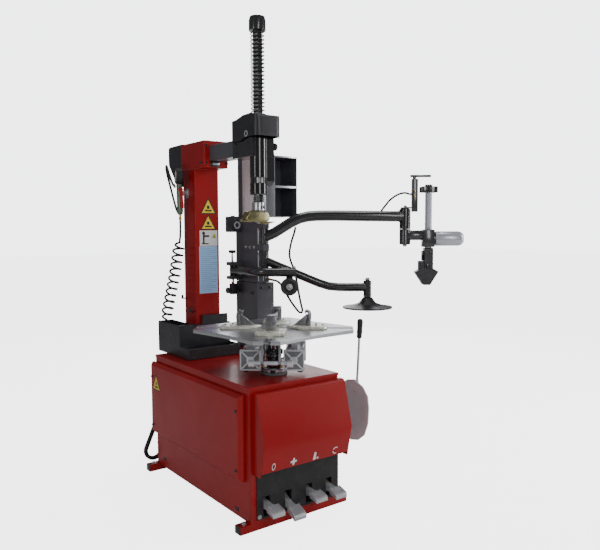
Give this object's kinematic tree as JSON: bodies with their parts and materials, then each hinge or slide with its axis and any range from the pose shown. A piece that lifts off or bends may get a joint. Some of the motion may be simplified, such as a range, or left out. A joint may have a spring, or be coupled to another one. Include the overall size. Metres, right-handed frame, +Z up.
{
  "type": "tyre changer",
  "caption": "Tilt-back workshop tyre changer: pedal cabinet, clamping turntable, column with tool head, jointed helper arm, bead breaker and air inflator.",
  "frame": {"origin": "centre of the machine's footprint box on the floor, z = 0 at the underside of the foot rails", "axes": "+Z up; the pedals face -Y; +X is to the right of somebody who stands at the pedals"},
  "size_m": [1.4392, 1.2129, 2.222],
  "materials": {
    "red_paint": "gloss",
    "black_paint": "satin",
    "black_plastic": "fine texture",
    "rubber": "matt",
    "bright_steel": "bright",
    "zinc_plated_steel": "zinc plated",
    "cast_aluminium": "as cast",
    "yellow_zinc": "yellow zinc plated",
    "machine_grey": "satin",
    "grey_green": "satin"
  },
  "bodies": {
    "frame": {"cabinet": "red_paint", "side_cover": "red_paint", "front_cover": "red_paint", "pedal_panel": "black_paint", "front_foot_rail": "red_paint", "rear_foot_rail": "red_paint", "wheel_pad": "rubber", "pedal_bracket": "zinc_plated_steel", "motor": "machine_grey", "gearbox": "machine_grey", "tool_tray": "black_plastic", "column_base": "black_paint", "bead_cylinder": "cast_aluminium", "helper_post": "black_paint", "helper_mast": "zinc_plated_steel", "mast_box": "black_paint", "power_cable": "rubber", "power_coil": "rubber", "power_plug": "black_plastic", "curly_hose": "rubber"},
    "pedal_left": {"pedal_1": "cast_aluminium"},
    "pedal_second": {"pedal_2": "cast_aluminium"},
    "pedal_third": {"pedal_3": "cast_aluminium"},
    "pedal_right": {"pedal_4": "cast_aluminium"},
    "worm_pulley": {"gearbox_pulley": "cast_aluminium"},
    "turntable": {"turntable_shaft": "bright_steel", "turntable_plate": "bright_steel", "chuck_cylinder_left": "cast_aluminium", "chuck_cylinder_right": "cast_aluminium"},
    "jaw_front": {"jaw_1": "zinc_plated_steel"},
    "jaw_second": {"jaw_2": "zinc_plated_steel"},
    "jaw_third": {"jaw_3": "zinc_plated_steel"},
    "jaw_fourth": {"jaw_4": "zinc_plated_steel"},
    "column": {"tilt_column": "red_paint", "arm_sleeve": "red_paint", "sleeve_cover": "black_plastic", "inflator_gun": "grey_green", "whip_hose": "rubber"},
    "trigger": {"inflator_trigger": "red_paint"},
    "beam": {"horizontal_beam": "black_paint", "head_housing": "black_paint", "head_cover": "black_plastic", "return_spring": "black_paint"},
    "knob": {"lock_knob": "black_plastic"},
    "tool_shaft": {"hex_shaft": "black_paint", "mount_head": "yellow_zinc"},
    "carriage": {"helper_carriage": "black_paint", "helper_hose": "rubber"},
    "helper_upper": {"upper_arm": "black_paint"},
    "helper_end": {"press_arm": "black_paint"},
    "valve_handle": {"valve_lever": "black_paint"},
    "presser": {"press_screw": "bright_steel", "press_cone": "black_plastic"},
    "helper_lower": {"lower_arm": "black_paint"},
    "disc": {"press_disc": "black_plastic"},
    "roller_lever": {"roller_arm": "black_paint"},
    "roller": {"bead_roller": "black_plastic"},
    "breaker_arm": {"bead_arm": "black_paint"},
    "breaker_blade": {"bead_blade": "zinc_plated_steel", "bead_handle": "black_paint"}
  },
  "joints": [
    {"name": "column_tilt", "type": "hinge", "parent": "frame", "child": "column", "pos_m": [-0.4087, 0.3965, 0.712], "axis": [-1, 0, 0], "range_deg": [0, 25]},
    {"name": "beam_slide", "type": "slide", "parent": "column", "child": "beam", "axis": [0, 1, 0], "range_m": [0, 0.19]},
    {"name": "shaft_slide", "type": "slide", "parent": "beam", "child": "tool_shaft", "axis": [0, 0, -1], "range_m": [0, 0.22], "stiffness_N_per_m": 600, "springref_m": -0.32, "deforming": ["return_spring"]},
    {"name": "lock_knob_turn", "type": "hinge", "parent": "beam", "child": "knob", "pos_m": [-0.3344, -0.1815, 1.648], "axis": [1, 0, 0], "range_deg": [0, 180]},
    {"name": "turntable_spin", "type": "hinge", "parent": "frame", "child": "turntable", "pos_m": [-0.4087, -0.2955, 0.823], "axis": [0, 0, 1], "continuous": true},
    {"name": "worm_spin", "type": "hinge", "parent": "frame", "child": "worm_pulley", "pos_m": [-0.5787, -0.2385, 0.47], "axis": [1, 0, 0], "continuous": true},
    {"name": "jaw_1_slide", "type": "slide", "parent": "turntable", "child": "jaw_front", "axis": [-0.632, -0.7749, 0], "range_m": [-0.044, 0.11]},
    {"name": "jaw_2_slide", "type": "slide", "parent": "turntable", "child": "jaw_second", "axis": [0.7749, -0.632, 0], "range_m": [-0.044, 0.11]},
    {"name": "jaw_3_slide", "type": "slide", "parent": "turntable", "child": "jaw_third", "axis": [0.632, 0.7749, 0], "range_m": [-0.044, 0.11]},
    {"name": "jaw_4_slide", "type": "slide", "parent": "turntable", "child": "jaw_fourth", "axis": [-0.7749, 0.632, 0], "range_m": [-0.044, 0.11]},
    {"name": "pedal_1_press", "type": "hinge", "parent": "frame", "child": "pedal_left", "pos_m": [-0.5687, -0.3785, 0.118], "axis": [1, 0, 0], "range_deg": [0, 11], "stiffness_Nm_per_rad": 15, "springref_deg": -14.32},
    {"name": "pedal_2_press", "type": "hinge", "parent": "frame", "child": "pedal_second", "pos_m": [-0.4557, -0.3785, 0.118], "axis": [1, 0, 0], "range_deg": [-12, 2]},
    {"name": "pedal_3_press", "type": "hinge", "parent": "frame", "child": "pedal_third", "pos_m": [-0.3427, -0.3785, 0.118], "axis": [1, 0, 0], "range_deg": [0, 11], "stiffness_Nm_per_rad": 15, "springref_deg": -14.32},
    {"name": "pedal_4_press", "type": "hinge", "parent": "frame", "child": "pedal_right", "pos_m": [-0.2297, -0.3785, 0.118], "axis": [1, 0, 0], "range_deg": [0, 11], "stiffness_Nm_per_rad": 15, "springref_deg": -14.32},
    {"name": "trigger_squeeze", "type": "hinge", "parent": "column", "child": "trigger", "pos_m": [-0.5227, 0.375, 1.48], "axis": [1, 0, 0], "range_deg": [0, 2.4], "stiffness_Nm_per_rad": 0.8, "springref_deg": -11.46},
    {"name": "carriage_lift", "type": "slide", "parent": "frame", "child": "carriage", "axis": [0, 0, 1], "range_m": [0, 0.3]},
    {"name": "upper_arm_swing", "type": "hinge", "parent": "carriage", "child": "helper_upper", "pos_m": [-0.1387, 0.1815, 1.226], "axis": [0, 0, 1], "range_deg": [-70, 15]},
    {"name": "press_arm_swing", "type": "hinge", "parent": "helper_upper", "child": "helper_end", "pos_m": [0.45786, -0.26641, 1.232], "axis": [0, 0, 1], "range_deg": [-90, 90]},
    {"name": "valve_lever_turn", "type": "hinge", "parent": "helper_end", "child": "valve_handle", "pos_m": [0.49785, -0.29643, 1.53], "axis": [0, 0, 1], "range_deg": [-25, 25], "stiffness_Nm_per_rad": 1},
    {"name": "press_screw_feed", "type": "slide", "parent": "helper_end", "child": "presser", "axis": [0, 0, -1], "range_m": [0, 0.16]},
    {"name": "lower_arm_swing", "type": "hinge", "parent": "carriage", "child": "helper_lower", "pos_m": [-0.1387, 0.1815, 1.105], "axis": [0, 0, 1], "range_deg": [-3, 12]},
    {"name": "press_disc_spin", "type": "hinge", "parent": "helper_lower", "child": "disc", "pos_m": [0.29953, -0.14753, 0.904], "axis": [0, 0, 1], "continuous": true},
    {"name": "roller_arm_swing", "type": "hinge", "parent": "carriage", "child": "roller_lever", "pos_m": [-0.1967, 0.4065, 1.04], "axis": [0, 0, 1], "range_deg": [-35, 0]},
    {"name": "bead_roller_spin", "type": "hinge", "parent": "roller_lever", "child": "roller", "pos_m": [-0.0767, 0.0425, 0.967], "axis": [0.6, 0.8, 0], "continuous": true},
    {"name": "bead_arm_swing", "type": "hinge", "parent": "frame", "child": "breaker_arm", "pos_m": [-0.1237, 0.3365, 0.295], "axis": [0, 0, 1], "range_deg": [-5, 60]},
    {"name": "bead_blade_turn", "type": "hinge", "parent": "breaker_arm", "child": "breaker_blade", "pos_m": [0.0253, -0.3635, 0.385], "axis": [0, 0, 1], "range_deg": [0, 15]}
  ],
  "couplings": [
    {"joint": "jaw_2_slide", "follows": "jaw_1_slide", "ratio": 1},
    {"joint": "jaw_3_slide", "follows": "jaw_1_slide", "ratio": 1},
    {"joint": "jaw_4_slide", "follows": "jaw_1_slide", "ratio": 1},
    {"joint": "worm_spin", "follows": "turntable_spin", "ratio": 20}
  ]
}
